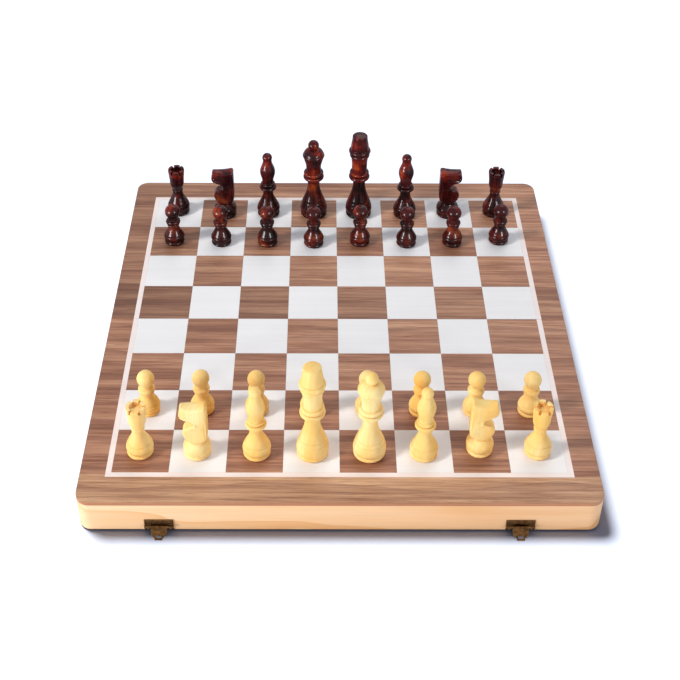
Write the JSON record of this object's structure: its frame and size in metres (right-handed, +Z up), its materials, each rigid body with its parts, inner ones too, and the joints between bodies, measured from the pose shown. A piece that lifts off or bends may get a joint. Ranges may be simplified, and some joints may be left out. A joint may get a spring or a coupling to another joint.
{
  "type": "folding chess box",
  "caption": "Hinged wooden box that opens flat into a chequered board, with two hasp latches, felt-lined trays and a full set of turned chessmen.",
  "frame": {"origin": "under the middle of the open box, on the surface that it stands on", "axes": "+X to the near player's right along the hinged seam, +Y from the near player to the far one, +Z up out of the board"},
  "size_m": [0.3824, 0.4054, 0.119],
  "materials": {
    "walnut": "satin",
    "light_veneer": "satin",
    "white_veneer": "satin",
    "pine": "satin",
    "felt": "matte",
    "antique_brass": "aged",
    "steel": "satin",
    "light_wood": "matte",
    "dark_wood": "gloss"
  },
  "bodies": {
    "near_half": {"near_panel": "walnut", "near_light_squares": "light_veneer", "near_border_line": "white_veneer", "near_end_wall": "pine", "near_seam_wall": "pine", "near_left_wall": "pine", "near_right_wall": "pine", "near_lining": "felt", "near_hinge_leaves": "antique_brass", "hinge_pins": "steel", "near_hinge_screws": "antique_brass", "latch_plates": "antique_brass", "latch_pins": "steel", "latch_nails": "antique_brass"},
    "far_half": {"far_panel": "walnut", "far_light_squares": "light_veneer", "far_border_line": "white_veneer", "far_end_wall": "pine", "far_seam_wall": "pine", "far_left_wall": "pine", "far_right_wall": "pine", "far_lining": "felt", "far_hinge_leaves": "antique_brass", "far_hinge_screws": "antique_brass", "catch_plates": "antique_brass", "catch_nails": "antique_brass"},
    "left_flap": {"latch_flap_left": "antique_brass"},
    "right_flap": {"latch_flap_right": "antique_brass"},
    "light_rook_left": {"light_rook_left": "light_wood"},
    "light_knight_left": {"light_knight_left": "light_wood"},
    "light_bishop_left": {"light_bishop_left": "light_wood"},
    "light_king": {"light_king": "light_wood"},
    "light_queen": {"light_queen": "light_wood"},
    "light_bishop_right": {"light_bishop_right": "light_wood"},
    "light_knight_right": {"light_knight_right": "light_wood"},
    "light_rook_right": {"light_rook_right": "light_wood"},
    "light_pawn_1": {"light_pawn_1": "light_wood"},
    "light_pawn_2": {"light_pawn_2": "light_wood"},
    "light_pawn_3": {"light_pawn_3": "light_wood"},
    "light_pawn_4": {"light_pawn_4": "light_wood"},
    "light_pawn_5": {"light_pawn_5": "light_wood"},
    "light_pawn_6": {"light_pawn_6": "light_wood"},
    "light_pawn_7": {"light_pawn_7": "light_wood"},
    "light_pawn_8": {"light_pawn_8": "light_wood"},
    "dark_rook_left": {"dark_rook_left": "dark_wood"},
    "dark_knight_left": {"dark_knight_left": "dark_wood"},
    "dark_bishop_left": {"dark_bishop_left": "dark_wood"},
    "dark_queen": {"dark_queen": "dark_wood"},
    "dark_king": {"dark_king": "dark_wood"},
    "dark_bishop_right": {"dark_bishop_right": "dark_wood"},
    "dark_knight_right": {"dark_knight_right": "dark_wood"},
    "dark_rook_right": {"dark_rook_right": "dark_wood"},
    "dark_pawn_1": {"dark_pawn_1": "dark_wood"},
    "dark_pawn_2": {"dark_pawn_2": "dark_wood"},
    "dark_pawn_3": {"dark_pawn_3": "dark_wood"},
    "dark_pawn_4": {"dark_pawn_4": "dark_wood"},
    "dark_pawn_5": {"dark_pawn_5": "dark_wood"},
    "dark_pawn_6": {"dark_pawn_6": "dark_wood"},
    "dark_pawn_7": {"dark_pawn_7": "dark_wood"},
    "dark_pawn_8": {"dark_pawn_8": "dark_wood"}
  },
  "joints": [
    {"name": "fold", "type": "hinge", "parent": "near_half", "child": "far_half", "pos_m": [0, 0, 0.002], "axis": [-1, 0, 0], "range_deg": [0, 180]},
    {"name": "latch_left", "type": "hinge", "parent": "near_half", "child": "left_flap", "pos_m": [-0.1315, -0.1982, 0.007], "axis": [-1, 0, 0], "range_deg": [-48.32, 116.68]},
    {"name": "latch_right", "type": "hinge", "parent": "near_half", "child": "right_flap", "pos_m": [0.1315, -0.1982, 0.007], "axis": [-1, 0, 0], "range_deg": [-48.32, 116.68]},
    {"name": "lift_light_rook_left", "type": "slide", "parent": "near_half", "child": "light_rook_left", "axis": [0, 0, 1], "range_m": [0, 0.11]},
    {"name": "lift_light_knight_left", "type": "slide", "parent": "near_half", "child": "light_knight_left", "axis": [0, 0, 1], "range_m": [0, 0.11]},
    {"name": "lift_light_bishop_left", "type": "slide", "parent": "near_half", "child": "light_bishop_left", "axis": [0, 0, 1], "range_m": [0, 0.11]},
    {"name": "lift_light_king", "type": "slide", "parent": "near_half", "child": "light_king", "axis": [0, 0, 1], "range_m": [0, 0.11]},
    {"name": "lift_light_queen", "type": "slide", "parent": "near_half", "child": "light_queen", "axis": [0, 0, 1], "range_m": [0, 0.11]},
    {"name": "lift_light_bishop_right", "type": "slide", "parent": "near_half", "child": "light_bishop_right", "axis": [0, 0, 1], "range_m": [0, 0.11]},
    {"name": "lift_light_knight_right", "type": "slide", "parent": "near_half", "child": "light_knight_right", "axis": [0, 0, 1], "range_m": [0, 0.11]},
    {"name": "lift_light_rook_right", "type": "slide", "parent": "near_half", "child": "light_rook_right", "axis": [0, 0, 1], "range_m": [0, 0.11]},
    {"name": "lift_light_pawn_1", "type": "slide", "parent": "near_half", "child": "light_pawn_1", "axis": [0, 0, 1], "range_m": [0, 0.11]},
    {"name": "lift_light_pawn_2", "type": "slide", "parent": "near_half", "child": "light_pawn_2", "axis": [0, 0, 1], "range_m": [0, 0.11]},
    {"name": "lift_light_pawn_3", "type": "slide", "parent": "near_half", "child": "light_pawn_3", "axis": [0, 0, 1], "range_m": [0, 0.11]},
    {"name": "lift_light_pawn_4", "type": "slide", "parent": "near_half", "child": "light_pawn_4", "axis": [0, 0, 1], "range_m": [0, 0.11]},
    {"name": "lift_light_pawn_5", "type": "slide", "parent": "near_half", "child": "light_pawn_5", "axis": [0, 0, 1], "range_m": [0, 0.11]},
    {"name": "lift_light_pawn_6", "type": "slide", "parent": "near_half", "child": "light_pawn_6", "axis": [0, 0, 1], "range_m": [0, 0.11]},
    {"name": "lift_light_pawn_7", "type": "slide", "parent": "near_half", "child": "light_pawn_7", "axis": [0, 0, 1], "range_m": [0, 0.11]},
    {"name": "lift_light_pawn_8", "type": "slide", "parent": "near_half", "child": "light_pawn_8", "axis": [0, 0, 1], "range_m": [0, 0.11]},
    {"name": "lift_dark_rook_left", "type": "slide", "parent": "far_half", "child": "dark_rook_left", "axis": [0, 0, 1], "range_m": [0, 0.11]},
    {"name": "lift_dark_knight_left", "type": "slide", "parent": "far_half", "child": "dark_knight_left", "axis": [0, 0, 1], "range_m": [0, 0.11]},
    {"name": "lift_dark_bishop_left", "type": "slide", "parent": "far_half", "child": "dark_bishop_left", "axis": [0, 0, 1], "range_m": [0, 0.11]},
    {"name": "lift_dark_queen", "type": "slide", "parent": "far_half", "child": "dark_queen", "axis": [0, 0, 1], "range_m": [0, 0.11]},
    {"name": "lift_dark_king", "type": "slide", "parent": "far_half", "child": "dark_king", "axis": [0, 0, 1], "range_m": [0, 0.11]},
    {"name": "lift_dark_bishop_right", "type": "slide", "parent": "far_half", "child": "dark_bishop_right", "axis": [0, 0, 1], "range_m": [0, 0.11]},
    {"name": "lift_dark_knight_right", "type": "slide", "parent": "far_half", "child": "dark_knight_right", "axis": [0, 0, 1], "range_m": [0, 0.11]},
    {"name": "lift_dark_rook_right", "type": "slide", "parent": "far_half", "child": "dark_rook_right", "axis": [0, 0, 1], "range_m": [0, 0.11]},
    {"name": "lift_dark_pawn_1", "type": "slide", "parent": "far_half", "child": "dark_pawn_1", "axis": [0, 0, 1], "range_m": [0, 0.11]},
    {"name": "lift_dark_pawn_2", "type": "slide", "parent": "far_half", "child": "dark_pawn_2", "axis": [0, 0, 1], "range_m": [0, 0.11]},
    {"name": "lift_dark_pawn_3", "type": "slide", "parent": "far_half", "child": "dark_pawn_3", "axis": [0, 0, 1], "range_m": [0, 0.11]},
    {"name": "lift_dark_pawn_4", "type": "slide", "parent": "far_half", "child": "dark_pawn_4", "axis": [0, 0, 1], "range_m": [0, 0.11]},
    {"name": "lift_dark_pawn_5", "type": "slide", "parent": "far_half", "child": "dark_pawn_5", "axis": [0, 0, 1], "range_m": [0, 0.11]},
    {"name": "lift_dark_pawn_6", "type": "slide", "parent": "far_half", "child": "dark_pawn_6", "axis": [0, 0, 1], "range_m": [0, 0.11]},
    {"name": "lift_dark_pawn_7", "type": "slide", "parent": "far_half", "child": "dark_pawn_7", "axis": [0, 0, 1], "range_m": [0, 0.11]},
    {"name": "lift_dark_pawn_8", "type": "slide", "parent": "far_half", "child": "dark_pawn_8", "axis": [0, 0, 1], "range_m": [0, 0.11]}
  ]
}
